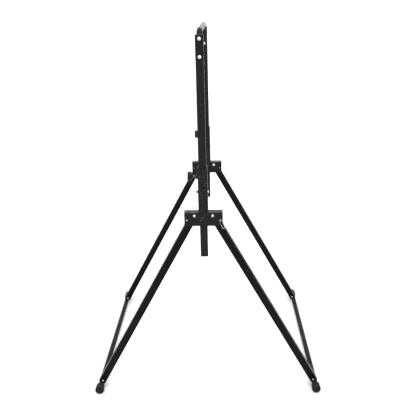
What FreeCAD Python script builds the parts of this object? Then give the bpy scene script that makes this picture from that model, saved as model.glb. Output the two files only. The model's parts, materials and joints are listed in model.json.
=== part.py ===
import FreeCAD, Part
import math
import os

from FreeCAD import Vector

# Folding, height-adjustable instrument stand.
# Frame: +X runs from the left mast to the right mast, -Y is the front (the clamp knobs are there), +Z is up.
# The origin is on the floor, midway between the four feet.  All sizes are in millimetres.
# One corner of each repeated piece is modelled at +X +Y, and the others are its mirror images.

# ---- driving dimensions -------------------------------------------------------------------------
MAST_X = 297.5                # mast axis to the stand's middle plane
MAST_HALF = 12.5              # 25 mm square mast tube
MAST_WALL = 1.5
MAST_TOP = 1226.0
MAST_BOTTOM = 528.0
TUBE_CORNER = 2.5             # outside corner radius of the 25 mm tubes

SLEEVE_HALF = 15.75           # 31.5 mm square outer sleeve
SLEEVE_WALL = 1.5
SLEEVE_CORNER = 3.0
SLEEVE_TOP = 828.0
SLEEVE_BOTTOM = 636.6
BUSH_GAP = 0.08               # play between a mast and its nylon bushings, each side
BUSH_RIM = 3.0
TOP_BUSH_DEPTH = 14.0
GUIDE_Z = 749.0               # guide bushing and its screws
GUIDE_BUSH_HALF_HEIGHT = 14.0
GUIDE_TIP = MAST_HALF + BUSH_GAP + 0.1     # the guide screws stop just short of the mast

BRACKET_END_Y = 62.5
BRACKET_TOP = 682.4
BRACKET_HALF = 14.8           # outer faces of the side plates, a little inside the sleeve's faces
BRACKET_SHEET = 2.0
BRACKET_BEND = 2.6
BRACKET_CORNER = 2.5          # rounded lower corner of each side plate

PIVOT_Y = 29.4
PIVOT_Z = 672.0
FOOT_Y = 390.2                # floor tube axis
FLOOR_TUBE_Z = 15.0
LEG_HALF = 12.5
LEG_WALL = 1.5
LEG_END_GAP = 4.8             # leg's lower end to the floor tube's axis
RIVET_RADIUS = 1.7
RIVET_HEAD_RADIUS = 3.3
RIVET_RISE = 12.9             # foot rivet above the floor tube's axis, along the leg
ROUND_TUBE_R = 9.5            # 19 mm round tube: floor tubes and hoop
ROUND_TUBE_WALL = 1.5

CAP_RADIUS = 15.4
CAP_START = 25.0              # rubber cap, from the mast's axis outwards
CAP_END = 55.0
CAP_CROWN = 3.0

STOP_ALONG = 25.0             # lock pin from the pivot, measured down the leg
STOP_GAP = 0.3
PIN_RADIUS = 2.0
PIN_TAIL = BRACKET_HALF + 4.5
EYE_FROM_AXIS = BRACKET_HALF + 6.0         # pull ring's hole in the pin, from the upright's middle plane
RING_LEAN = 24.0              # how far the rear right pin and its ring have turned from upright
RING_HALF_WIDTH = 4.4
RING_WIRE = 0.9
RING_DROP = 30.5              # top of the ring to its bottom, along the wire's centre line
RING_LIFT = 0.6               # play between the ring and the bottom of its hole

HOOP_TOP = 1248.0
HOOP_BOTTOM = 1159.0
HOOP_BEND = 30.0
SADDLE_THICKNESS = 2.0
PLATE_SHEET = 2.0
CAP_FLANGE = 4.0
HOOP_BOLT_Z = (1219.0, 1168.0)

KNOB_Z = 801.0
KNOB_RADIUS = 15.6
KNOB_FACE = 48.0              # knob's outer face to the mast's axis
KNOB_DEPTH = 16.5
BOSS_DEPTH = 6.0
STUD_RADIUS = 4.0

BOLT_RADIUS = 3.0             # M6
PIVOT_HEAD_RADIUS = 4.9
HOOP_HEAD_RADIUS = 5.7
HEAD_HEIGHT = 3.3
RUNNING_GAP = 0.06
HOLE_GAP = 0.1

# ---- derived places -----------------------------------------------------------------------------
LEG_REACH = math.hypot(FOOT_Y - PIVOT_Y, PIVOT_Z - FLOOR_TUBE_Z)
LEG_ANGLE = math.degrees(math.atan2(FOOT_Y - PIVOT_Y, PIVOT_Z - FLOOR_TUBE_Z))
DOWN_LEG = Vector(0, math.sin(math.radians(LEG_ANGLE)), -math.cos(math.radians(LEG_ANGLE)))
OFF_LEG = Vector(0, math.cos(math.radians(LEG_ANGLE)), math.sin(math.radians(LEG_ANGLE)))
PIVOT = Vector(MAST_X, PIVOT_Y, PIVOT_Z)
LOCK_PIN = PIVOT + DOWN_LEG * STOP_ALONG + OFF_LEG * (LEG_HALF + PIN_RADIUS + STOP_GAP)
SLEEVE_BORE = SLEEVE_HALF - SLEEVE_WALL
HOOP_LEG_X = MAST_X - MAST_HALF - SADDLE_THICKNESS - ROUND_TUBE_R
HOOP_AXIS_Z = HOOP_TOP - ROUND_TUBE_R

X_AXIS = Vector(1, 0, 0)
Y_AXIS = Vector(0, 1, 0)
Z_AXIS = Vector(0, 0, 1)


# ---- shape helpers ------------------------------------------------------------------------------
def mirror_x(shape):
    return shape.mirror(Vector(0, 0, 0), X_AXIS)


def mirror_y(shape):
    return shape.mirror(Vector(0, 0, 0), Y_AXIS)


def moved(shape, by):
    copy = shape.copy()
    copy.translate(by)
    return copy


def rod(radius, start, axis, length):
    return Part.makeCylinder(radius, length, start, axis)


def block(low, high):
    size = high - low
    return Part.makeBox(size.x, size.y, size.z, low)


def rounded_prism(half_x, half_y, radius, bottom, top):
    """Upright prism about the Z axis with rounded long edges."""
    prism = block(Vector(-half_x, -half_y, bottom), Vector(half_x, half_y, top))
    upright = [edge for edge in prism.Edges if abs(edge.tangentAt(edge.FirstParameter).z) > 0.99]
    return prism.makeFillet(radius, upright)


def square_tube(half, wall, corner, bottom, top):
    outer = rounded_prism(half, half, corner, bottom, top)
    inner_corner = max(corner - wall, 0.5)
    return outer.cut(rounded_prism(half - wall, half - wall, inner_corner, bottom - 1, top + 1))


def turned(profile, base, axis):
    """Solid of revolution from (radius, height) points; a (mid, end) pair of points is an arc."""
    edges = []
    start = Vector(profile[0][0], 0, profile[0][1])
    last = start
    for item in profile[1:] + [profile[0]]:
        if isinstance(item[0], tuple):
            middle = Vector(item[0][0], 0, item[0][1])
            end = Vector(item[1][0], 0, item[1][1])
            edges.append(Part.Arc(last, middle, end).toShape())
        else:
            end = Vector(item[0], 0, item[1])
            edges.append(Part.LineSegment(last, end).toShape())
        last = end
    face = Part.Face(Part.Wire(edges))
    solid = face.revolve(Vector(0, 0, 0), Z_AXIS, 360)
    solid.rotate(Vector(0, 0, 0), *turn_from_z(axis))
    solid.translate(base)
    return solid


def turn_from_z(axis):
    turn = FreeCAD.Rotation(Z_AXIS, axis)
    return turn.Axis, math.degrees(turn.Angle)


def hex_prism(across_flats, height, base, axis):
    corner = across_flats / 2 / math.cos(math.radians(30))
    points = []
    for step in range(7):
        angle = math.radians(60 * step)
        points.append(Vector(corner * math.cos(angle), corner * math.sin(angle), 0))
    prism = Part.Face(Part.makePolygon(points)).extrude(Vector(0, 0, height))
    prism.rotate(Vector(0, 0, 0), *turn_from_z(axis))
    prism.translate(base)
    return prism


def chamfered_nut(across_flats, height, bore, base, axis):
    corner = across_flats / 2 / math.cos(math.radians(30))
    slope = 0.35 * (corner - across_flats / 2)
    cone = turned([(0, 0), (corner - 0.3, 0), (corner, slope), (corner, height - slope),
                   (corner - 0.3, height), (0, height)], base, axis)
    solid = hex_prism(across_flats, height, base, axis).common(cone)
    return solid.cut(rod(bore, base - axis, axis, height + 2))


def button_head(radius, height, base, axis):
    """Domed screw head with a hex socket."""
    dome = ((radius * 0.76, height * 0.72), (radius * 0.36, height))
    head = turned([(0, 0), (radius, 0), (radius, 0.5), dome, (0, height)], base, axis)
    return head.cut(hex_prism(radius * 0.72, height, base + axis * (height * 0.45), axis))


def swept_tube(edges, radius):
    path = Part.Wire(edges)
    first = path.Edges[0]
    start = first.valueAt(first.FirstParameter)
    along = first.tangentAt(first.FirstParameter)
    ring = Part.Wire([Part.Circle(start, along, radius).toShape()])
    return path.makePipeShell([ring], True, False)


def lean_leg(shape):
    """Turn a piece drawn down the -Z axis from the pivot into the rear right leg's place."""
    placed = shape.copy()
    placed.rotate(Vector(0, 0, 0), X_AXIS, LEG_ANGLE)
    placed.translate(PIVOT)
    return placed


PARTS = {}


def keep(name, *solids):
    PARTS[name] = solids[0] if len(solids) == 1 else Part.makeCompound(list(solids))


def keep_sides(name, right):
    """A piece and its mirror image on the other mast, as two nodes."""
    keep(name + "_right", right)
    keep(name + "_left", mirror_x(right))


def keep_corners(name, rear_right):
    """One node at each of the four leg joints."""
    for end, piece in (("rear", rear_right), ("front", mirror_y(rear_right))):
        keep_sides(name + "_" + end, piece)


# ---- sleeves and their nylon bushings -----------------------------------------------------------
def make_sleeve():
    sleeve = square_tube(SLEEVE_HALF, SLEEVE_WALL, SLEEVE_CORNER, SLEEVE_BOTTOM, SLEEVE_TOP)
    stud_hole = rod(STUD_RADIUS + 0.5, Vector(0, -SLEEVE_HALF - 1, KNOB_Z), Y_AXIS, SLEEVE_WALL + 2)
    guide_holes = rod(2.5 + HOLE_GAP, Vector(0, -SLEEVE_HALF - 1, GUIDE_Z), Y_AXIS, 2 * SLEEVE_HALF + 2)
    return moved(sleeve.cut(stud_hole).cut(guide_holes), Vector(MAST_X, 0, 0))


def make_top_bushing():
    """Liner pushed into the sleeve's mouth, with a rim that covers the tube's end."""
    opening = MAST_HALF + BUSH_GAP
    liner_low = SLEEVE_TOP - TOP_BUSH_DEPTH
    rim = rounded_prism(SLEEVE_HALF, SLEEVE_HALF, SLEEVE_CORNER, SLEEVE_TOP, SLEEVE_TOP + BUSH_RIM)
    rim = rim.makeFillet(0.8, [e for e in rim.Edges if abs(e.CenterOfMass.z - SLEEVE_TOP - BUSH_RIM) < 0.01])
    liner = rounded_prism(SLEEVE_BORE, SLEEVE_BORE, SLEEVE_CORNER - SLEEVE_WALL, liner_low, SLEEVE_TOP)
    corner = TUBE_CORNER + BUSH_GAP
    bore = rounded_prism(opening, opening, corner, liner_low - 1, SLEEVE_TOP + BUSH_RIM + 1)
    return moved(rim.fuse(liner).cut(bore).removeSplitter(), Vector(MAST_X, 0, 0))


def make_guide_bushing():
    low = GUIDE_Z - GUIDE_BUSH_HALF_HEIGHT
    high = GUIDE_Z + GUIDE_BUSH_HALF_HEIGHT
    opening = MAST_HALF + BUSH_GAP
    ring = rounded_prism(SLEEVE_BORE, SLEEVE_BORE, SLEEVE_CORNER - SLEEVE_WALL, low, high)
    ring = ring.cut(rounded_prism(opening, opening, TUBE_CORNER + BUSH_GAP, low - 1, high + 1))
    holes = rod(2.5 + HOLE_GAP, Vector(0, -SLEEVE_HALF, GUIDE_Z), Y_AXIS, 2 * SLEEVE_HALF)
    return moved(ring.cut(holes), Vector(MAST_X, 0, 0))


def make_guide_screw():
    """Button-head screw that holds the guide bushing from behind."""
    shank = rod(2.5, Vector(MAST_X, GUIDE_TIP, GUIDE_Z), Y_AXIS, SLEEVE_HALF - GUIDE_TIP)
    return shank.fuse(button_head(4.7, 2.8, Vector(MAST_X, SLEEVE_HALF, GUIDE_Z), Y_AXIS))


def make_set_screw():
    """Set screw at the front, and the nut that locks it."""
    face = Vector(MAST_X, -SLEEVE_HALF, GUIDE_Z)
    screw = rod(2.5, face - Y_AXIS * 8.4, Y_AXIS, SLEEVE_HALF + 8.4 - GUIDE_TIP)
    socket = hex_prism(2.5, 2.5, face - Y_AXIS * 8.9, Y_AXIS)
    return [screw.cut(socket), chamfered_nut(8, 4, 2.5, face - Y_AXIS * 4, Y_AXIS)]


# ---- hinge brackets and pivot bolts -------------------------------------------------------------
def make_bracket():
    """Folded channel welded to the sleeve's rear face: a top web and two side plates."""
    low = Vector(-BRACKET_HALF, SLEEVE_HALF, SLEEVE_BOTTOM)
    solid = block(low, Vector(BRACKET_HALF, BRACKET_END_Y, BRACKET_TOP))
    bends = [e for e in solid.Edges
             if abs(e.CenterOfMass.z - BRACKET_TOP) < 0.01 and abs(e.tangentAt(0).y) > 0.99]
    solid = solid.makeFillet(BRACKET_BEND, bends)
    ends = [e for e in solid.Edges if abs(e.tangentAt(e.FirstParameter).x) > 0.99
            and abs(e.CenterOfMass.y - BRACKET_END_Y) < 0.01 and e.CenterOfMass.z < SLEEVE_BOTTOM + 1]
    solid = solid.makeFillet(BRACKET_CORNER, ends)
    inside = BRACKET_HALF - BRACKET_SHEET
    hollow = block(Vector(-inside, 0, 0), Vector(inside, 2 * BRACKET_END_Y, BRACKET_TOP - BRACKET_SHEET))
    across = Vector(-BRACKET_HALF - 1, 0, 0)
    through = 2 * BRACKET_HALF + 2
    pivot_hole = rod(BOLT_RADIUS + HOLE_GAP, across + Vector(0, PIVOT_Y, PIVOT_Z), X_AXIS, through)
    pin_hole = rod(PIN_RADIUS + RUNNING_GAP, across + Vector(0, LOCK_PIN.y, LOCK_PIN.z), X_AXIS, through)
    return moved(solid.cut(hollow).cut(pivot_hole).cut(pin_hole), Vector(MAST_X, 0, 0))


def make_pivot_bolt():
    head = button_head(PIVOT_HEAD_RADIUS, HEAD_HEIGHT, PIVOT + X_AXIS * BRACKET_HALF, X_AXIS)
    length = 2 * BRACKET_HALF + 6.5
    return head.fuse(rod(BOLT_RADIUS, PIVOT + X_AXIS * BRACKET_HALF, -X_AXIS, length))


def make_pivot_nut():
    """Lock nut on the inner side plate, with its rounded collar."""
    base = PIVOT - X_AXIS * BRACKET_HALF
    nut = chamfered_nut(10, 4.2, BOLT_RADIUS, base, -X_AXIS)
    crown = ((4.2, 5.8), (3.6, 6.0))
    collar = turned([(BOLT_RADIUS, 4.2), (4.5, 4.2), (4.5, 5.2), crown, (BOLT_RADIUS, 6.0)], base, -X_AXIS)
    return nut.fuse(collar)


# ---- upper frame: masts, hoop and their fixings ---------------------------------------------------
def make_mast():
    mast = square_tube(MAST_HALF, MAST_WALL, TUBE_CORNER, MAST_BOTTOM, MAST_TOP)
    for height in HOOP_BOLT_Z:
        mast = mast.cut(rod(BOLT_RADIUS + HOLE_GAP, Vector(-20, 0, height), X_AXIS, 40))
    return moved(mast, Vector(MAST_X, 0, 0))


def hoop_solid(radius, overrun):
    """Inverted U of round bar: two legs, two bends and the hanging bar."""
    low = HOOP_BOTTOM - overrun
    bend_z = HOOP_AXIS_Z - HOOP_BEND
    inner = HOOP_LEG_X - HOOP_BEND
    slant = HOOP_BEND * math.sqrt(0.5)
    left_mid = Vector(-inner - slant, 0, bend_z + slant)
    right_mid = Vector(inner + slant, 0, bend_z + slant)
    edges = [
        Part.LineSegment(Vector(-HOOP_LEG_X, 0, low), Vector(-HOOP_LEG_X, 0, bend_z)).toShape(),
        Part.Arc(Vector(-HOOP_LEG_X, 0, bend_z), left_mid, Vector(-inner, 0, HOOP_AXIS_Z)).toShape(),
        Part.LineSegment(Vector(-inner, 0, HOOP_AXIS_Z), Vector(inner, 0, HOOP_AXIS_Z)).toShape(),
        Part.Arc(Vector(inner, 0, HOOP_AXIS_Z), right_mid, Vector(HOOP_LEG_X, 0, bend_z)).toShape(),
        Part.LineSegment(Vector(HOOP_LEG_X, 0, bend_z), Vector(HOOP_LEG_X, 0, low)).toShape()]
    return swept_tube(edges, radius)


def bolt_run(height):
    """Hoop bolts: the lower one goes right through the hoop, the upper one ends inside it."""
    far_side = HOOP_LEG_X - ROUND_TUBE_R - 6.5
    return HOOP_LEG_X if height == max(HOOP_BOLT_Z) else far_side


def make_hoop():
    hoop = hoop_solid(ROUND_TUBE_R, 0).cut(hoop_solid(ROUND_TUBE_R - ROUND_TUBE_WALL, 1))
    for height in HOOP_BOLT_Z:
        start = Vector(bolt_run(height), 0, height)
        drill = rod(BOLT_RADIUS + HOLE_GAP, start, X_AXIS, MAST_X - start.x)
        hoop = hoop.cut(drill).cut(mirror_x(drill))
    return hoop


def make_hoop_plug():
    """Push-in plug that closes the hoop's lower end."""
    r = ROUND_TUBE_R - ROUND_TUBE_WALL
    rim = ((ROUND_TUBE_R - 0.4, -1.9), (ROUND_TUBE_R, 0))
    profile = [(0, -2.5), (r, -2.5), rim, (r, 0), (r, 5), (0, 5)]
    return turned(profile, Vector(HOOP_LEG_X, 0, HOOP_BOTTOM), Z_AXIS)


def make_saddle(height):
    """Spacer between the flat mast and the round hoop."""
    mast_face = MAST_X - MAST_HALF
    pad = block(Vector(mast_face - 6, -7, height - 6), Vector(mast_face, 7, height + 6))
    hole = rod(BOLT_RADIUS + HOLE_GAP, Vector(mast_face - 10, 0, height), X_AXIS, 12)
    return pad.cut(hoop_solid(ROUND_TUBE_R, 0)).cut(hole)


def make_hoop_plate():
    outer = MAST_X + MAST_HALF
    plate = block(Vector(outer, -MAST_HALF, HOOP_BOTTOM), Vector(outer + PLATE_SHEET, MAST_HALF, MAST_TOP))
    corners = [e for e in plate.Edges if abs(e.tangentAt(0).x) > 0.99 and e.CenterOfMass.z < HOOP_BOTTOM + 1]
    plate = plate.makeFillet(2.0, corners)
    for height in HOOP_BOLT_Z:
        plate = plate.cut(rod(BOLT_RADIUS + HOLE_GAP, Vector(outer - 1, 0, height), X_AXIS, PLATE_SHEET + 2))
    return plate


def make_hoop_bolt(height):
    start = Vector(MAST_X + MAST_HALF + PLATE_SHEET, 0, height)
    shank = rod(BOLT_RADIUS, start, -X_AXIS, start.x - bolt_run(height))
    return shank.fuse(button_head(HOOP_HEAD_RADIUS, HEAD_HEIGHT, start, X_AXIS))


def make_mast_cap():
    """Square cap on the mast's upper end, wide enough to cover the plate too."""
    flange = block(Vector(-MAST_HALF, -MAST_HALF, MAST_TOP),
                   Vector(MAST_HALF + PLATE_SHEET, MAST_HALF, MAST_TOP + CAP_FLANGE))
    upper = [e for e in flange.Edges if e.CenterOfMass.z > MAST_TOP + 0.1]
    flange = flange.makeFillet(1.3, upper)
    plug_half = MAST_HALF - MAST_WALL
    plug = rounded_prism(plug_half, plug_half, 1.0, MAST_TOP - 3.2, MAST_TOP)
    hollow = rounded_prism(plug_half - 2, plug_half - 2, 1.0, MAST_TOP - 4, MAST_TOP)
    return moved(flange.fuse(plug.cut(hollow)).removeSplitter(), Vector(MAST_X, 0, 0))


def make_mast_plug():
    plug_half = MAST_HALF - MAST_WALL
    flange = rounded_prism(MAST_HALF, MAST_HALF, TUBE_CORNER, MAST_BOTTOM - 3, MAST_BOTTOM)
    under = [e for e in flange.Edges if abs(e.CenterOfMass.z - MAST_BOTTOM + 3) < 0.01]
    flange = flange.makeFillet(0.9, under)
    body = rounded_prism(plug_half, plug_half, 1.0, MAST_BOTTOM, MAST_BOTTOM + 14)
    hollow = rounded_prism(plug_half - 2, plug_half - 2, 1.0, MAST_BOTTOM + 1, MAST_BOTTOM + 15)
    return moved(flange.fuse(body).cut(hollow).removeSplitter(), Vector(MAST_X, 0, 0))


# ---- legs and floor tubes -------------------------------------------------------------------------
def make_leg():
    """Square leg: its trimmed upper end clears the bracket, and its lower end is notched for the tube."""
    low = -(LEG_REACH - LEG_END_GAP)
    tube = square_tube(LEG_HALF, LEG_WALL, TUBE_CORNER, low, 7.0)
    trim = Part.Face(Part.makePolygon([
        Vector(-20, -LEG_HALF - 1, 3.0), Vector(-20, -LEG_HALF, 3.5), Vector(-20, -10.5, 7.0),
        Vector(-20, 1.5, 7.0), Vector(-20, LEG_HALF, 1.0), Vector(-20, LEG_HALF + 1, 0.4),
        Vector(-20, LEG_HALF + 1, 20), Vector(-20, -LEG_HALF - 1, 20), Vector(-20, -LEG_HALF - 1, 3.0)]))
    tube = tube.cut(trim.extrude(Vector(40, 0, 0)))
    tube = tube.cut(rod(4.5, Vector(-20, 0, 0), X_AXIS, 40))
    tube = tube.cut(rod(ROUND_TUBE_R, Vector(-20, 0, -LEG_REACH), X_AXIS, 40))
    tube = tube.cut(rod(RIVET_RADIUS, Vector(-20, 0, RIVET_RISE - LEG_REACH), X_AXIS, 40))
    return lean_leg(tube)


def make_pivot_bush():
    """Steel bush through the leg; the leg turns on it and it keeps the side plates apart."""
    length = 2 * (BRACKET_HALF - BRACKET_SHEET) - 0.1
    start = Vector(-length / 2, 0, 0)
    bore = rod(BOLT_RADIUS + RUNNING_GAP, start, X_AXIS, length)
    return lean_leg(rod(4.5, start, X_AXIS, length).cut(bore))


def make_foot_plug():
    """Nylon plug inside the leg's lower end, hollowed to seat the floor tube."""
    half = LEG_HALF - LEG_WALL
    plug = rounded_prism(half, half, 1.0, -(LEG_REACH - LEG_END_GAP), RIVET_RISE + 9 - LEG_REACH)
    plug = plug.cut(rod(ROUND_TUBE_R, Vector(-20, 0, -LEG_REACH), X_AXIS, 40))
    return lean_leg(plug.cut(rod(RIVET_RADIUS, Vector(-20, 0, RIVET_RISE - LEG_REACH), X_AXIS, 40)))


def make_foot_rivet():
    height = RIVET_RISE - LEG_REACH
    rivet = rod(RIVET_RADIUS, Vector(-LEG_HALF, 0, height), X_AXIS, 2 * LEG_HALF)
    for side in (1, -1):
        seat = Vector(side * LEG_HALF, 0, height)
        dome = ((2.4, 1.3), (0.6, 1.9))
        head = turned([(0, 0), (RIVET_HEAD_RADIUS, 0), dome, (0, 1.9)], seat, X_AXIS * side)
        rivet = rivet.fuse(head)
    return lean_leg(rivet)


def make_floor_tube():
    reach = MAST_X + CAP_END - CAP_CROWN
    start = Vector(-reach, FOOT_Y, FLOOR_TUBE_Z)
    outer = rod(ROUND_TUBE_R, start, X_AXIS, 2 * reach)
    return outer.cut(rod(ROUND_TUBE_R - ROUND_TUBE_WALL, start - X_AXIS, X_AXIS, 2 * reach + 2))


def make_floor_cap():
    """Rubber cap on the floor tube's end, with a narrow flat tread where it stands on the floor."""
    length = CAP_END - CAP_START
    depth = length - CAP_CROWN
    r = CAP_RADIUS
    lip = ((r - 1.0, 0.4), (r - 0.6, 1.4))
    crown = ((r - 1.7, length - 1.8), (r - 5.5, length))
    profile = [(ROUND_TUBE_R, 0), (r - 2.0, 0), lip, (r, length - 6), crown, (0, length), (0, depth),
               (ROUND_TUBE_R, depth)]
    cap = turned(profile, Vector(MAST_X + CAP_START, FOOT_Y, FLOOR_TUBE_Z), X_AXIS)
    below = block(Vector(MAST_X, FOOT_Y - 20, -10), Vector(MAST_X + 2 * CAP_END, FOOT_Y + 20, 0))
    return cap.cut(below)


# ---- clamp knobs ------------------------------------------------------------------------------------
def make_boss():
    """Threaded boss welded to the sleeve's front face."""
    base = Vector(MAST_X, -SLEEVE_HALF, KNOB_Z)
    bore = STUD_RADIUS + RUNNING_GAP
    profile = [(bore, 0), (8.5, 0), (8.5, BOSS_DEPTH - 1), (7.5, BOSS_DEPTH), (bore, BOSS_DEPTH)]
    return turned(profile, base, -Y_AXIS)


def make_stud():
    """Threaded stud: its tip bears on the mast, its other end is held in the knob."""
    tip = -(MAST_HALF + 0.05)
    length = KNOB_FACE - 3 + tip
    r = STUD_RADIUS
    return turned([(0, 0), (r - 1, 0), (r, 1), (r, length - 0.5), (r - 0.5, length), (0, length)],
                  Vector(MAST_X, tip, KNOB_Z), -Y_AXIS)


def make_knob():
    """Round hand knob with six finger flutes and a collar towards the sleeve."""
    back = -(KNOB_FACE - KNOB_DEPTH)
    r = KNOB_RADIUS
    shoulder = ((r - 0.6, 4.1), (r, 5.5))
    crown = ((r - 1.2, KNOB_DEPTH - 1.2), (r - 4, KNOB_DEPTH))
    knob = turned([(0, 0), (8, 0), (8, 2.5), (r - 2.0, 3.5), shoulder, (r, KNOB_DEPTH - 4), crown,
                   (6.5, KNOB_DEPTH), (6, KNOB_DEPTH - 0.8), (0, KNOB_DEPTH - 0.8)], Vector(0, 0, 0), Z_AXIS)
    for step in range(6):
        angle = math.radians(60 * step)
        centre = Vector((r + 2.6) * math.cos(angle), (r + 2.6) * math.sin(angle), 2.9)
        knob = knob.cut(rod(4.6, centre, Z_AXIS, KNOB_DEPTH))
    knob = knob.cut(rod(STUD_RADIUS + RUNNING_GAP, Vector(0, 0, -1), Z_AXIS, KNOB_DEPTH - 2 + RUNNING_GAP))
    knob.rotate(Vector(0, 0, 0), X_AXIS, 90)
    return moved(knob, Vector(MAST_X, back, KNOB_Z))


# ---- lock pins and their pull rings -----------------------------------------------------------------
def make_lock_pin():
    """Pin through both side plates, with a small domed head; the open leg leans against it."""
    seat = BRACKET_HALF + PIN_TAIL
    crown = ((2.3, seat + 3.4), (0.6, seat + 3.9))
    profile = [(0, 0), (1.2, 0), (PIN_RADIUS, 1.2), (PIN_RADIUS, seat), (3.3, seat), (3.3, seat + 1.5), crown,
               (0, seat + 3.9)]
    return turned(profile, LOCK_PIN - X_AXIS * PIN_TAIL, X_AXIS)


def make_ring_pin():
    """The same pin with a longer head, cross-drilled for a pull ring."""
    seat = BRACKET_HALF + PIN_TAIL
    crown = ((2.1, seat + 8.9), (0.6, seat + 9.4))
    profile = [(0, 0), (1.2, 0), (PIN_RADIUS, 1.2), (PIN_RADIUS, seat), (3.3, seat), (3.3, seat + 1.5),
               (2.7, seat + 2.1), (2.7, seat + 7.6), crown, (0, seat + 9.4)]
    pin = turned(profile, LOCK_PIN - X_AXIS * PIN_TAIL, X_AXIS)
    return pin.cut(rod(1.7, LOCK_PIN + Vector(EYE_FROM_AXIS, -5, 0), Y_AXIS, 10))


def lean_pin(piece):
    """Turn a ring pin or its ring about the pin's axis, the way one of them rests."""
    turned_piece = piece.copy()
    turned_piece.rotate(LOCK_PIN, X_AXIS, RING_LEAN)
    return turned_piece


def make_pull_ring():
    """Long wire ring hanging in the pin's eye."""
    top = Vector(0, 0, RING_LIFT)
    bottom = Vector(0, 0, RING_LIFT - RING_DROP)
    shoulder = Vector(0, RING_HALF_WIDTH, RING_LIFT - RING_HALF_WIDTH)
    heel = Vector(0, RING_HALF_WIDTH, RING_LIFT - RING_DROP + RING_HALF_WIDTH)
    edges = [Part.LineSegment(shoulder, heel).toShape(),
             Part.Arc(heel, bottom, Vector(0, -heel.y, heel.z)).toShape(),
             Part.LineSegment(Vector(0, -heel.y, heel.z), Vector(0, -shoulder.y, shoulder.z)).toShape(),
             Part.Arc(Vector(0, -shoulder.y, shoulder.z), top, shoulder).toShape()]
    return moved(swept_tube(edges, RING_WIRE), LOCK_PIN + X_AXIS * EYE_FROM_AXIS)


# ---- assembly -----------------------------------------------------------------------------------------
keep_sides("sleeve", make_sleeve())
keep_sides("sleeve_top_bushing", make_top_bushing())
keep_sides("sleeve_guide_bushing", make_guide_bushing())
keep_sides("guide_screw", make_guide_screw())
keep_sides("guide_set_screw", Part.makeCompound(make_set_screw()))
keep_corners("hinge_bracket", make_bracket())
keep_corners("pivot_bolt", make_pivot_bolt())
pivot_nut = make_pivot_nut()
rear_nuts = [pivot_nut, mirror_x(pivot_nut)]
keep("pivot_lock_nuts", *(rear_nuts + [mirror_y(nut) for nut in rear_nuts]))

keep_sides("mast", make_mast())
keep_sides("mast_top_cap", make_mast_cap())
keep_sides("mast_bottom_plug", make_mast_plug())
keep("hoop", make_hoop())
keep("hoop_end_plugs", make_hoop_plug(), mirror_x(make_hoop_plug()))
keep_sides("hoop_plate", make_hoop_plate())
saddles = [make_saddle(height) for height in HOOP_BOLT_Z]
keep("hoop_saddles", *(saddles + [mirror_x(saddle) for saddle in saddles]))
bolts = [make_hoop_bolt(height) for height in HOOP_BOLT_Z]
keep("hoop_bolts", *(bolts + [mirror_x(bolt) for bolt in bolts]))
hoop_nut = chamfered_nut(10, 5, BOLT_RADIUS, Vector(HOOP_LEG_X - ROUND_TUBE_R, 0, min(HOOP_BOLT_Z)), -X_AXIS)
keep("hoop_nuts", hoop_nut, mirror_x(hoop_nut))

for end, flip in (("rear", lambda shape: shape), ("front", mirror_y)):
    keep_sides(end + "_leg", flip(make_leg()))
    keep_sides(end + "_floor_cap", flip(make_floor_cap()))
    keep(end + "_floor_tube", flip(make_floor_tube()))
    for name, piece in (("_pivot_bushes", make_pivot_bush()), ("_foot_plugs", make_foot_plug()),
                        ("_foot_rivets", make_foot_rivet())):
        keep(end + name, flip(piece), mirror_x(flip(piece)))

keep_sides("clamp_boss", make_boss())
keep_sides("clamp_stud", make_stud())
keep_sides("clamp_knob", make_knob())
keep_sides("lock_pin_front", mirror_y(make_lock_pin()))
for name, piece in (("lock_pin_rear", make_ring_pin()), ("pull_ring_rear", make_pull_ring())):
    keep(name + "_right", lean_pin(piece))
    keep(name + "_left", mirror_x(piece))

os.makedirs("parts", exist_ok=True)
for name, shape in PARTS.items():
    if not shape.isValid():
        print("not valid:", name)
    shape.exportStep("parts/" + name + ".step")
print(len(PARTS), "nodes, leg angle", round(LEG_ANGLE, 3), "leg reach", round(LEG_REACH, 2))
print("lock pin", tuple(round(value, 2) for value in LOCK_PIN))
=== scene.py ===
import json
import math
import random

import bpy
from mathutils import Matrix, Vector


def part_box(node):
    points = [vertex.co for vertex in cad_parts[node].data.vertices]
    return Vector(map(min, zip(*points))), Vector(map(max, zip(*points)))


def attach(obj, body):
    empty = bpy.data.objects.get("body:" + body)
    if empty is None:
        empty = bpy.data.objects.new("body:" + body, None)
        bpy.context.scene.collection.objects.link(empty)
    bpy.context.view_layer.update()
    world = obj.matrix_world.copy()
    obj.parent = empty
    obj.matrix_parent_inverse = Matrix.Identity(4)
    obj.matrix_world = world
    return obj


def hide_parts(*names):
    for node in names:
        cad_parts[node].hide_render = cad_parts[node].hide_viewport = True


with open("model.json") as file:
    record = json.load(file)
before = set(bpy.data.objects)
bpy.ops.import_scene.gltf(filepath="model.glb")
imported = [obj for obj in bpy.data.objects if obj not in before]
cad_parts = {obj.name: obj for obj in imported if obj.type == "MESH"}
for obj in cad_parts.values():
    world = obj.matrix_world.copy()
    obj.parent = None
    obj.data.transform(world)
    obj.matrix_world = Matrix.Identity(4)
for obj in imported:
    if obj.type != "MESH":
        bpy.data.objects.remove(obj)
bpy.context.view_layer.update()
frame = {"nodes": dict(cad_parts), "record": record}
nodes = frame["nodes"]
random.seed(7)

SIDES = {"right": 1, "left": -1}
ENDS = {"rear": 1, "front": -1}

# Lengths are in metres, unless a name ends in MM.
BEAD_RADIUS = 0.0011
BOSS_BEAD_RADIUS = 0.001
BEAD_STEP = 0.0007            # from one ring of a bead to the next
BEAD_SIDES = 8
BEAD_END_TAPER = 0.55
SEAM_INSET = 0.0002           # how far a bead's middle stands off the seam
WEB_BEAD_HALF = 0.0115
STUD_CREST = 0.004
STUD_ROOT = 0.0034
STUD_PITCH = 0.00125
STUD_SIDES = 28
ROWS_PER_PITCH = 6

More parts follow.
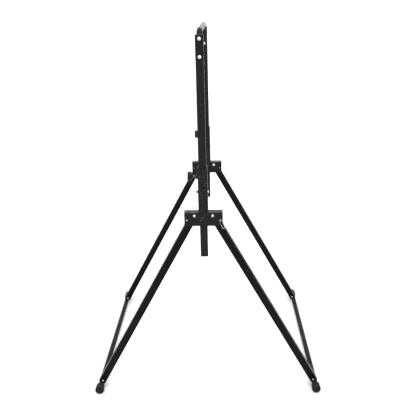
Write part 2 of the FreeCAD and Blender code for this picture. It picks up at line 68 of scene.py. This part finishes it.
BASE_BLACK = (0.0032, 0.0032, 0.0031)
# painted shade: a darker copy of the frame black, used on the legs and floor tubes
LEG_PAINTED_SHADE_BLACK = (0.0012, 0.0012, 0.0012)
DUST = (0.15, 0.147, 0.14)

FLOOR_HALF = 6
FLOOR_DROP = 0.0005           # keeps the floor just under the rubber caps
SKY_STRENGTH = 1.55
CAMERA_PLACE = (1.9446, 0.0545, 1.3141)
CAMERA_LOOK = (-0.93549, -0.02252, -0.35263)
CAMERA_ACROSS = (-0.01638, 0.99966, -0.02040)
LENS_MM = 47.03
SENSOR_MM = 36


# ---- materials --------------------------------------------------------------------------------------
class Nodes:
    """Wires up one procedural material."""

    def __init__(self, name):
        self.material = bpy.data.materials.new(name)
        self.material.use_nodes = True
        self.tree = self.material.node_tree
        self.shader = self.tree.nodes["Principled BSDF"]
        self.coords = self.tree.nodes.new("ShaderNodeTexCoord").outputs["Object"]

    def add(self, kind, **settings):
        node = self.tree.nodes.new(kind)
        for key, value in settings.items():
            setattr(node, key, value)
        return node

    def link(self, source, target):
        self.tree.links.new(source, target)

    def stretched(self, scale):
        mapping = self.add("ShaderNodeMapping")
        mapping.inputs["Scale"].default_value = scale
        self.link(self.coords, mapping.inputs["Vector"])
        return mapping.outputs["Vector"]

    def noise(self, scale, detail=3.0, rough=0.55, stretch=None):
        node = self.add("ShaderNodeTexNoise")
        node.inputs["Scale"].default_value = scale
        node.inputs["Detail"].default_value = detail
        node.inputs["Roughness"].default_value = rough
        self.link(self.stretched(stretch) if stretch else self.coords, node.inputs["Vector"])
        return node.outputs["Fac"]

    def cells(self, scale):
        node = self.add("ShaderNodeTexVoronoi")
        node.inputs["Scale"].default_value = scale
        self.link(self.coords, node.inputs["Vector"])
        return node.outputs["Distance"]

    def ramp(self, value, low, high, start=0.0, end=1.0):
        node = self.add("ShaderNodeMapRange", clamp=True)
        for name, number in (("From Min", low), ("From Max", high), ("To Min", start), ("To Max", end)):
            node.inputs[name].default_value = number
        self.link(value, node.inputs["Value"])
        return node.outputs["Result"]

    def maths(self, operation, first, second):
        node = self.add("ShaderNodeMath", operation=operation)
        self.link(first, node.inputs[0])
        if isinstance(second, float):
            node.inputs[1].default_value = second
        else:
            self.link(second, node.inputs[1])
        return node.outputs[0]

    def mix(self, mask, first, second):
        node = self.add("ShaderNodeMix", data_type="RGBA")
        self.link(mask, node.inputs[0])
        for socket, colour in ((node.inputs[6], first), (node.inputs[7], second)):
            if isinstance(colour, tuple):
                socket.default_value = (*colour, 1)
            else:
                self.link(colour, socket)
        return node.outputs[2]

    def facing_up(self):
        geometry = self.add("ShaderNodeNewGeometry")
        split = self.add("ShaderNodeSeparateXYZ")
        self.link(geometry.outputs["Normal"], split.inputs[0])
        return split.outputs["Z"]

    def height(self):
        split = self.add("ShaderNodeSeparateXYZ")
        self.link(self.coords, split.inputs[0])
        return split.outputs["Z"]

    def bump(self, height, distance, strength=1.0):
        node = self.add("ShaderNodeBump")
        node.inputs["Strength"].default_value = strength
        node.inputs["Distance"].default_value = distance
        self.link(height, node.inputs["Height"])
        self.link(node.outputs["Normal"], self.shader.inputs["Normal"])

    def finish(self, colour, roughness, **fixed):
        self.link(colour, self.shader.inputs["Base Color"])
        self.link(roughness, self.shader.inputs["Roughness"])
        for name, value in fixed.items():
            self.shader.inputs[name.replace("_", " ")].default_value = value
        return self.material


def dusty(m, base, dust, cover):
    """Dust that settles on the upward faces, in soft patches."""
    patches = m.ramp(m.noise(38, 5), 0.38, 0.72)
    up = m.ramp(m.facing_up(), 0.35, 1.0)
    return m.mix(m.maths("MULTIPLY", m.maths("MULTIPLY", patches, up), cover), base, dust)


def powder_coat(name, base, scuff, chip_start=0.765, dust=0.30, gloss=0.17):
    """Black powder coat: fine orange peel, faint rub marks along the tube, dust and a few chips."""
    m = Nodes(name)
    rubs = m.ramp(m.noise(60, 4, 0.6, (9, 9, 0.6)), 0.60, 0.74)
    tone = m.mix(m.ramp(m.noise(9, 4), 0.35, 0.7), base, tuple(c * 1.35 for c in base))
    tone = m.mix(m.maths("MULTIPLY", rubs, scuff), tone, (0.045, 0.044, 0.042))
    chips = m.ramp(m.noise(240, 2, 0.4), chip_start, chip_start + 0.035)
    tone = m.mix(m.maths("MULTIPLY", chips, 0.7), tone, (0.27, 0.265, 0.255))
    tone = dusty(m, tone, DUST, dust)
    rough = m.ramp(m.noise(24, 5), 0.3, 0.75, 0.31, 0.45)
    m.bump(m.maths("ADD", m.cells(1500), m.maths("MULTIPLY", chips, -0.8)), 0.00006)
    return m.finish(tone, rough, IOR=1.45, Specular_IOR_Level=gloss)


def glossy_paint():
    """Gloss black paint on the hoop, with fine scratches along the bar."""
    m = Nodes("hoop_gloss")
    tone = m.mix(m.ramp(m.noise(14, 4), 0.35, 0.7), (0.009, 0.009, 0.009), (0.014, 0.014, 0.014))
    scratches = m.ramp(m.noise(90, 3, 0.5, (0.4, 9, 9)), 0.66, 0.72)
    tone = m.mix(m.maths("MULTIPLY", scratches, 0.35), tone, (0.08, 0.078, 0.075))
    rough = m.ramp(m.noise(30, 5), 0.3, 0.75, 0.21, 0.35)
    m.bump(m.maths("ADD", m.noise(900, 2), m.maths("MULTIPLY", scratches, -0.5)), 0.00004)
    return m.finish(tone, rough, IOR=1.5, Specular_IOR_Level=0.03)


def zinc():
    """Zinc plate: cloudy brightness, fine brushing and a little tarnish in patches."""
    m = Nodes("zinc_plate")
    tone = m.mix(m.ramp(m.noise(160, 4), 0.3, 0.7), (0.46, 0.46, 0.45), (0.62, 0.62, 0.61))
    tarnish = m.ramp(m.noise(420, 4), 0.58, 0.78)
    tone = m.mix(m.maths("MULTIPLY", tarnish, 0.5), tone, (0.32, 0.29, 0.24))
    rough = m.ramp(m.noise(600, 3), 0.3, 0.7, 0.22, 0.42)
    m.bump(m.noise(2600, 2, 0.5, (1, 1, 6)), 0.00005)
    return m.finish(tone, rough, Metallic=0.92)


def ring_wire_painted_shade():
    """Pull ring wire: brown metal with painted shade, darker on the upper part near the pin and a paler
    painted lit tone on the lower part.
    """
    m = Nodes("ring_wire")
    # painted lit tone: the paler colour of the lower part of the wire
    handled_wear_and_painted_lit = m.mix(m.ramp(m.noise(500, 4), 0.35, 0.68), (0.50, 0.48, 0.43), (0.34, 0.30, 0.24))
    # painted shade tone: the darker colour of the upper part of the wire
    painted_shade_tone = m.mix(m.ramp(m.noise(420, 4), 0.35, 0.68), (0.17, 0.14, 0.10), (0.08, 0.065, 0.05))
    # painted shade: above 0.650 m the wire takes the dark tone, below 0.636 m the pale lit tone
    tone = m.mix(m.ramp(m.height(), 0.636, 0.650), handled_wear_and_painted_lit, painted_shade_tone)
    rough = m.ramp(m.noise(900, 3), 0.3, 0.7, 0.28, 0.5)
    m.bump(m.noise(3000, 2), 0.00005)
    return m.finish(tone, rough, Metallic=0.85)


def dull_pin():
    """Handled steel pin: grey-brown, smudged where fingers hold it."""
    m = Nodes("dull_pin")
    tone = m.mix(m.ramp(m.noise(260, 4), 0.35, 0.7), (0.22, 0.21, 0.19), (0.38, 0.37, 0.345))
    rough = m.ramp(m.noise(700, 3), 0.3, 0.7, 0.3, 0.5)
    m.bump(m.noise(2400, 2), 0.00005)
    return m.finish(tone, rough, Metallic=0.85)


def dark_steel():
    """Oiled, darkened steel: brown-black, with paler rubbed spots."""
    m = Nodes("dark_steel")
    tone = m.mix(m.ramp(m.noise(300, 4), 0.35, 0.7), (0.10, 0.095, 0.085), (0.20, 0.19, 0.17))
    rough = m.ramp(m.noise(700, 3), 0.3, 0.7, 0.24, 0.4)
    m.bump(m.noise(2400, 2), 0.00005)
    return m.finish(tone, rough, Metallic=0.8)


def rubber():
    """Moulded rubber: matte, with turned mould lines, pits and floor dirt near the tread."""
    m = Nodes("moulded_rubber")
    tone = m.mix(m.ramp(m.noise(70, 5), 0.35, 0.7), (0.004, 0.004, 0.004), (0.010, 0.010, 0.009))
    low = m.ramp(m.height(), 0.0, 0.012, 1.0, 0.0)
    grime = m.maths("MULTIPLY", low, m.ramp(m.noise(180, 5), 0.35, 0.7))
    tone = m.mix(m.maths("MULTIPLY", grime, 0.45), tone, (0.11, 0.10, 0.085))
    tone = dusty(m, tone, (0.07, 0.066, 0.062), 0.30)
    rough = m.ramp(m.noise(120, 4), 0.3, 0.7, 0.55, 0.78)
    lines = m.noise(1, 1, 0.5, (900, 4, 4))
    m.bump(m.maths("ADD", lines, m.maths("MULTIPLY", m.noise(1800, 3), 0.7)), 0.00016)
    return m.finish(tone, rough, IOR=1.45, Specular_IOR_Level=0.12)


def moulded_plastic(name, base, roughness, grain):
    """Black moulded plastic: fine grain, a little dust, smoother where it is handled."""
    m = Nodes(name)
    tone = m.mix(m.ramp(m.noise(90, 4), 0.35, 0.7), base, tuple(c * 1.6 for c in base))
    tone = dusty(m, tone, (0.12, 0.115, 0.11), 0.25)
    handled_wear_and_painted_lit = m.ramp(m.noise(55, 4), 0.3, 0.75, roughness - 0.08, roughness + 0.1)
    m.bump(m.maths("ADD", m.cells(2600), m.noise(1200, 3)), grain)
    return m.finish(tone, handled_wear_and_painted_lit, IOR=1.46, Specular_IOR_Level=0.14)


def weld_paint():
    """Painted weld: the same coat as the frame, pooled and a little glossier over the ripples."""
    m = Nodes("painted_weld")
    tone = m.mix(m.ramp(m.noise(300, 4), 0.35, 0.7), (0.004, 0.004, 0.004), (0.012, 0.012, 0.012))
    rough = m.ramp(m.noise(400, 4), 0.3, 0.7, 0.25, 0.45)
    m.bump(m.noise(1100, 3), 0.0002)
    return m.finish(tone, rough, IOR=1.45, Specular_IOR_Level=0.2)


def paint(name, material):
    nodes[name].data.materials.clear()
    nodes[name].data.materials.append(material)


SLOT_MATERIALS = {
    "frame_black": powder_coat("powder_coat", BASE_BLACK, 0.30),
    "hoop_black": glossy_paint(),
    "zinc": zinc(),
    "ring_wire": ring_wire_painted_shade(),
    "dark_steel": dark_steel(),
    "rubber": rubber(),
    "black_nylon": moulded_plastic("nylon_grain", (0.003, 0.003, 0.003), 0.46, 0.00008),
    "knob_plastic": moulded_plastic("knob_grain", (0.005, 0.005, 0.005), 0.42, 0.0001),
}
for row in frame["record"]["subparts"]:
    paint(row["node"], SLOT_MATERIALS[row["material_slot"]])
DULL_PIN = dull_pin()
WORN_COAT = powder_coat("powder_coat_worn", BASE_BLACK, 0.6, 0.69)
# painted shade: a darker, less dusty copy of the powder coat for the legs and floor tubes
PAINTED_SHADE_COAT = powder_coat("powder_coat_painted_shade", LEG_PAINTED_SHADE_BLACK, 0.2, dust=0.06, gloss=0.10)
for side in SIDES:
    paint("hoop_plate_" + side, SLOT_MATERIALS["black_nylon"])
    paint("sleeve_" + side, WORN_COAT)
    for end in ENDS:
        paint("lock_pin_" + end + "_" + side, DULL_PIN)
        paint(end + "_leg_" + side, PAINTED_SHADE_COAT)
for end in ENDS:
    paint(end + "_floor_tube", PAINTED_SHADE_COAT)
WELD = weld_paint()


# ---- detail pieces ------------------------------------------------------------------------------------
def mesh_piece(name, points, faces, material, body, smooth=True):
    mesh = bpy.data.meshes.new(name)
    mesh.from_pydata(points, [], faces)
    mesh.update()
    for polygon in mesh.polygons:
        polygon.use_smooth = smooth
    mesh.materials.append(material)
    piece = bpy.data.objects.new(name, mesh)
    bpy.context.scene.collection.objects.link(piece)
    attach(piece, body)
    return piece


def rings_to_faces(ring_count, per_ring, closed):
    faces = []
    for ring in range(ring_count if closed else ring_count - 1):
        following = (ring + 1) % ring_count
        for step in range(per_ring):
            after = (step + 1) % per_ring
            faces.append((ring * per_ring + step, ring * per_ring + after,
                          following * per_ring + after, following * per_ring + step))
    if not closed:
        faces.append(tuple(reversed(range(per_ring))))
        faces.append(tuple(range((ring_count - 1) * per_ring, ring_count * per_ring)))
    return faces


def bead(name, path, radius, body, closed=False):
    """Rippled weld bead along a path of points."""
    points = []
    total = len(path)
    for index, centre in enumerate(path):
        before = path[index - 1] if index or closed else centre
        after = path[(index + 1) % total] if index + 1 < total or closed else centre
        along = (after - before).normalized()
        side = along.orthogonal().normalized()
        other = along.cross(side)
        ripple = 1 + 0.13 * math.sin(index * 1.9) + random.uniform(-0.05, 0.05)
        taper = BEAD_END_TAPER if not closed and index in (0, total - 1) else 1
        for step in range(BEAD_SIDES):
            angle = math.tau * step / BEAD_SIDES
            offset = side * math.cos(angle) + other * math.sin(angle)
            points.append(centre + offset * radius * ripple * taper)
    return mesh_piece(name, points, rings_to_faces(total, BEAD_SIDES, closed), WELD, body)


def line_path(start, end):
    count = max(4, int((end - start).length / BEAD_STEP))
    return [start.lerp(end, step / count) for step in range(count + 1)]


def circle_path(centre, radius, count=56):
    path = []
    for step in range(count):
        angle = math.tau * step / count
        path.append(centre + Vector((radius * math.cos(angle), 0, radius * math.sin(angle))))
    return path


def threaded_stud(name, start, length, body):
    """Screw with a helical thread, running along -Y from its tip."""
    rows = int(length / STUD_PITCH * ROWS_PER_PITCH)
    points = []
    for row_index in range(rows + 1):
        along = length * row_index / rows
        edge = min(along, length - along)
        for step in range(STUD_SIDES):
            angle = math.tau * step / STUD_SIDES
            phase = (along / STUD_PITCH - step / STUD_SIDES) % 1
            crest = 1 - abs(2 * phase - 1)
            threaded = STUD_ROOT + (STUD_CREST - STUD_ROOT) * min(1, crest * 1.35)
            radius = min(threaded, STUD_ROOT + edge * 1.2)
            points.append(start + Vector((radius * math.cos(angle), -along, -radius * math.sin(angle))))
    faces = rings_to_faces(rows + 1, STUD_SIDES, False)
    return mesh_piece(name, points, faces, SLOT_MATERIALS["dark_steel"], body)


for side, sx in SIDES.items():
    sleeve_low, sleeve_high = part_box("sleeve_" + side)
    axis_x = (sleeve_low[0] + sleeve_high[0]) / 2
    for end, sy in ENDS.items():
        low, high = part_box("hinge_bracket_" + end + "_" + side)
        seam_y = sy * (sleeve_high[1] + 0.0001)
        outer_x, inner_x = (high[0], low[0]) if sx > 0 else (low[0], high[0])
        for edge, x in (("outer", outer_x), ("inner", inner_x)):
            inset = SEAM_INSET if x > axis_x else -SEAM_INSET
            bottom = Vector((x + inset, seam_y, low[2] + 0.002))
            top = Vector((x + inset, seam_y, high[2] - 0.003))
            bead("weld_%s_%s_%s" % (edge, end, side), line_path(bottom, top), BEAD_RADIUS, "uprights")
        web_y = sy * (sleeve_high[1] + 0.0003)
        left = Vector((axis_x - WEB_BEAD_HALF, web_y, high[2] + 0.0001))
        right = Vector((axis_x + WEB_BEAD_HALF, web_y, high[2] + 0.0001))
        bead("weld_web_%s_%s" % (end, side), line_path(left, right), BEAD_RADIUS, "uprights")
    boss_low, boss_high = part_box("clamp_boss_" + side)
    boss_centre = Vector((axis_x, boss_high[1] - 0.0003, (boss_low[2] + boss_high[2]) / 2))
    boss_rim = circle_path(boss_centre, (boss_high[0] - boss_low[0]) / 2)
    bead("boss_weld_" + side, boss_rim, BOSS_BEAD_RADIUS, "uprights", True)
    stud_low, stud_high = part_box("clamp_stud_" + side)
    stud_tip = Vector(((stud_low[0] + stud_high[0]) / 2, stud_high[1], (stud_low[2] + stud_high[2]) / 2))
    stud_length = stud_high[1] - stud_low[1]
    stud = threaded_stud("threaded_stud_" + side, stud_tip, stud_length, "clamp_stud_" + side + "_body")
    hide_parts("clamp_stud_" + side)


# ---- studio ---------------------------------------------------------------------------------------------
def stage_plane():
    """Pale floor, with a faint unevenness so that it isn't a flat colour."""
    mesh = bpy.data.meshes.new("floor")
    corners = [(-FLOOR_HALF, -FLOOR_HALF, 0), (FLOOR_HALF, -FLOOR_HALF, 0),
               (FLOOR_HALF, FLOOR_HALF, 0), (-FLOOR_HALF, FLOOR_HALF, 0)]
    mesh.from_pydata(corners, [], [(0, 1, 2, 3)])
    m = Nodes("pale_floor")
    tone = m.mix(m.noise(1.5, 2), (0.79, 0.79, 0.79), (0.81, 0.81, 0.81))
    rough = m.ramp(m.noise(3, 2), 0.3, 0.7, 0.85, 0.95)
    mesh.materials.append(m.finish(tone, rough, Specular_IOR_Level=0.1))
    floor = bpy.data.objects.new("floor", mesh)
    floor.location.z = -FLOOR_DROP
    bpy.context.scene.collection.objects.link(floor)


def area_light(name, position, target, size, power):
    light = bpy.data.lights.new(name, "AREA")
    light.shape = "DISK"
    light.size = size
    light.energy = power
    lamp = bpy.data.objects.new(name, light)
    lamp.location = position
    lamp.rotation_euler = (Vector(target) - Vector(position)).to_track_quat("-Z", "Y").to_euler()
    bpy.context.scene.collection.objects.link(lamp)


stage_plane()
area_light("overhead", (0.3, 0.0, 3.4), (0, 0, 0.4), 2.6, 40)
area_light("front_soft", (1.6, -2.8, 2.6), (0, 0, 0.6), 1.6, 22)
area_light("back_soft", (1.2, 3.0, 2.4), (0, 0, 0.6), 1.6, 26)
world = bpy.data.worlds.new("studio")
world.use_nodes = True
sky = world.node_tree.nodes["Background"]
sky.inputs["Color"].default_value = (1, 1, 1, 1)
sky.inputs["Strength"].default_value = SKY_STRENGTH
bpy.context.scene.world = world
bpy.context.scene.view_settings.view_transform = "Standard"

look = Vector(CAMERA_LOOK).normalized()
across = Vector(CAMERA_ACROSS)
across = (across - look * across.dot(look)).normalized()
upward = across.cross(look)
camera_data = bpy.data.cameras.new("camera")
camera_data.lens = LENS_MM
camera_data.sensor_width = SENSOR_MM
camera = bpy.data.objects.new("camera", camera_data)
turn = Matrix((across, upward, -look)).transposed().to_4x4()
camera.matrix_world = Matrix.Translation(CAMERA_PLACE) @ turn
bpy.context.scene.collection.objects.link(camera)
bpy.context.scene.camera = camera
